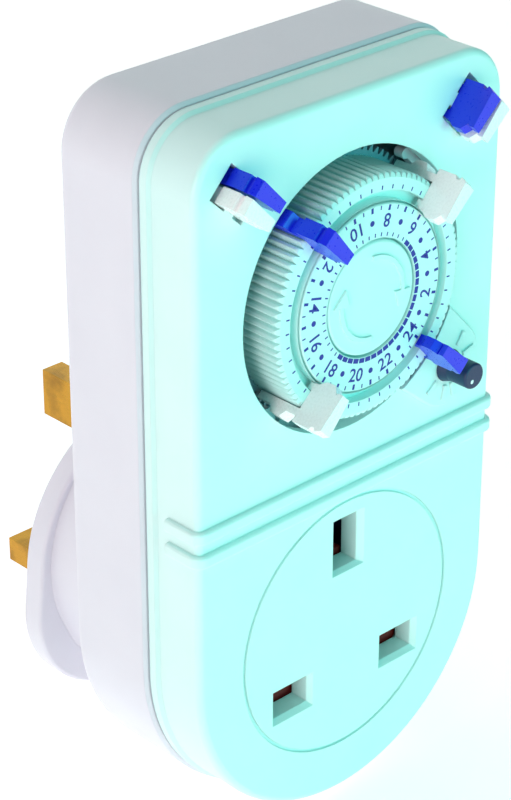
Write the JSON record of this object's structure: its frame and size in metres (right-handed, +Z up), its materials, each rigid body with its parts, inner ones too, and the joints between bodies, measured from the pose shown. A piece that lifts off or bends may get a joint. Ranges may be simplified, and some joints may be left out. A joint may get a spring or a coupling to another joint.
{
  "type": "plug-through timer switch",
  "caption": "Plug-in timer switch: wall plug on the back, socket with safety shutter in front, and a turning 24 hour dial whose clip-on tappets switch the outlet",
  "frame": {"origin": "centre of the flat plug face that meets the wall outlet", "axes": "+Y into the wall, out of the plug face; +Z up; +X to the right of somebody facing the dial"},
  "size_m": [0.061, 0.0764, 0.115],
  "materials": {
    "face_plastic": "satin moulded, pale aqua white",
    "dial_plastic": "satin moulded, pale aqua white",
    "case_plastic": "satin moulded off-white",
    "blue_plastic": "glossy saturated blue",
    "white_plastic": "glossy white",
    "knob_plastic": "dark slate blue",
    "shutter_plastic": "dark red nylon",
    "block_plastic": "dark insulating moulding",
    "gear_plastic": "dark blue acetal",
    "pinion_plastic": "natural acetal",
    "switch_plastic": "black thermoset",
    "pin_brass": "drawn brass",
    "contact_brass": "stamped brass strip",
    "plate_steel": "zinc-plated sheet",
    "screw_steel": "zinc-plated",
    "spring_steel": "drawn wire",
    "lead_sleeve": "blue wire sleeve",
    "lead_sleeve_live": "brown wire sleeve"
  },
  "bodies": {
    "case": {"front_cover": "face_plastic", "rear_case": "case_plastic", "case_screws": "screw_steel", "plug_base": "case_plastic", "plug_screws": "screw_steel", "pin_rivets": "contact_brass", "earth_pin": "pin_brass", "line_pin": "pin_brass", "neutral_pin": "pin_brass", "earth_contact": "contact_brass", "line_contact": "contact_brass", "neutral_contact": "contact_brass", "line_strap_in": "contact_brass", "line_strap_out": "contact_brass", "socket_block": "block_plastic", "shutter_spring": "spring_steel", "dial_spindle": "screw_steel", "spindle_clip": "screw_steel", "mechanism_plate": "plate_steel", "mechanism_screws": "screw_steel", "second_arbor": "screw_steel", "arbor_clip": "screw_steel", "first_arbor": "screw_steel", "motor_can": "plate_steel", "motor_screws": "screw_steel", "lever_pin": "screw_steel", "microswitch_body": "switch_plastic", "switch_terminals": "contact_brass", "switch_screws": "screw_steel", "motor_lead_live": "lead_sleeve_live", "motor_lead_neutral": "lead_sleeve"},
    "dial": {"dial_rim": "dial_plastic", "number_disc": "dial_plastic", "dial_cap": "dial_plastic", "dial_gear": "gear_plastic"},
    "second_wheel": {"second_wheel": "pinion_plastic"},
    "first_wheel": {"first_wheel": "pinion_plastic"},
    "motor_pinion": {"motor_pinion": "pinion_plastic"},
    "override_knob": {"override_knob": "knob_plastic"},
    "follower_lever": {"follower_lever": "pinion_plastic"},
    "microswitch_button": {"microswitch_button": "white_plastic"},
    "safety_shutter": {"safety_shutter": "shutter_plastic"},
    "dial_tappet_a": {"dial_tappet_a": "blue_plastic"},
    "stored_tappet_a": {"stored_tappet_a": "blue_plastic"},
    "dial_tappet_b": {"dial_tappet_b": "blue_plastic"},
    "stored_tappet_b": {"stored_tappet_b": "white_plastic"},
    "dial_tappet_c": {"dial_tappet_c": "white_plastic"},
    "stored_tappet_c": {"stored_tappet_c": "white_plastic"},
    "dial_tappet_d": {"dial_tappet_d": "white_plastic"},
    "stored_tappet_d": {"stored_tappet_d": "blue_plastic"}
  },
  "joints": [
    {"name": "dial_spin", "type": "hinge", "parent": "case", "child": "dial", "pos_m": [0, -0.0485, 0.05405], "axis": [0, 1, 0], "continuous": true},
    {"name": "second_wheel_spin", "type": "hinge", "parent": "case", "child": "second_wheel", "pos_m": [0, -0.039, 0.03162], "axis": [0, 1, 0], "continuous": true},
    {"name": "first_wheel_spin", "type": "hinge", "parent": "case", "child": "first_wheel", "pos_m": [-0.00972, -0.037, 0.03723], "axis": [0, 1, 0], "continuous": true},
    {"name": "motor_pinion_spin", "type": "hinge", "parent": "case", "child": "motor_pinion", "pos_m": [-0.00972, -0.036, 0.04686], "axis": [0, 1, 0], "continuous": true},
    {"name": "knob_turn", "type": "hinge", "parent": "case", "child": "override_knob", "pos_m": [0.0192, -0.0453, 0.03608], "axis": [0, 1, 0], "range_deg": [0, 90]},
    {"name": "lever_swing", "type": "hinge", "parent": "case", "child": "follower_lever", "pos_m": [0.02149, -0.039, 0.06], "axis": [0, 1, 0], "range_deg": [0, 6], "stiffness_Nm_per_rad": 0.03},
    {"name": "button_press", "type": "slide", "parent": "case", "child": "microswitch_button", "axis": [0, 0, -1], "range_m": [0, 0.00037]},
    {"name": "shutter_drop", "type": "slide", "parent": "case", "child": "safety_shutter", "axis": [0, 0, -1], "range_m": [0, 0.0075], "stiffness_N_per_m": 40, "deforming": ["shutter_spring"]},
    {"name": "dial_tappet_a_pull", "type": "slide", "parent": "dial", "child": "dial_tappet_a", "axis": [0, -1, 0], "range_m": [0, 0.009]},
    {"name": "dial_tappet_b_pull", "type": "slide", "parent": "dial", "child": "dial_tappet_b", "axis": [0, -1, 0], "range_m": [0, 0.009]},
    {"name": "dial_tappet_c_pull", "type": "slide", "parent": "dial", "child": "dial_tappet_c", "axis": [0, -1, 0], "range_m": [0, 0.009]},
    {"name": "dial_tappet_d_pull", "type": "slide", "parent": "dial", "child": "dial_tappet_d", "axis": [0, -1, 0], "range_m": [0, 0.009]},
    {"name": "stored_tappet_a_pull", "type": "slide", "parent": "case", "child": "stored_tappet_a", "axis": [0, -1, 0], "range_m": [0, 0.009]},
    {"name": "stored_tappet_b_pull", "type": "slide", "parent": "case", "child": "stored_tappet_b", "axis": [0, -1, 0], "range_m": [0, 0.009]},
    {"name": "stored_tappet_c_pull", "type": "slide", "parent": "case", "child": "stored_tappet_c", "axis": [0, -1, 0], "range_m": [0, 0.009]},
    {"name": "stored_tappet_d_pull", "type": "slide", "parent": "case", "child": "stored_tappet_d", "axis": [0, -1, 0], "range_m": [0, 0.009]}
  ],
  "couplings": [
    {"joint": "second_wheel_spin", "follows": "dial_spin", "ratio": -6},
    {"joint": "first_wheel_spin", "follows": "dial_spin", "ratio": 15},
    {"joint": "motor_pinion_spin", "follows": "dial_spin", "ratio": -30},
    {"joint": "button_press", "follows": "lever_swing", "m_per_rad": 0.0035}
  ]
}
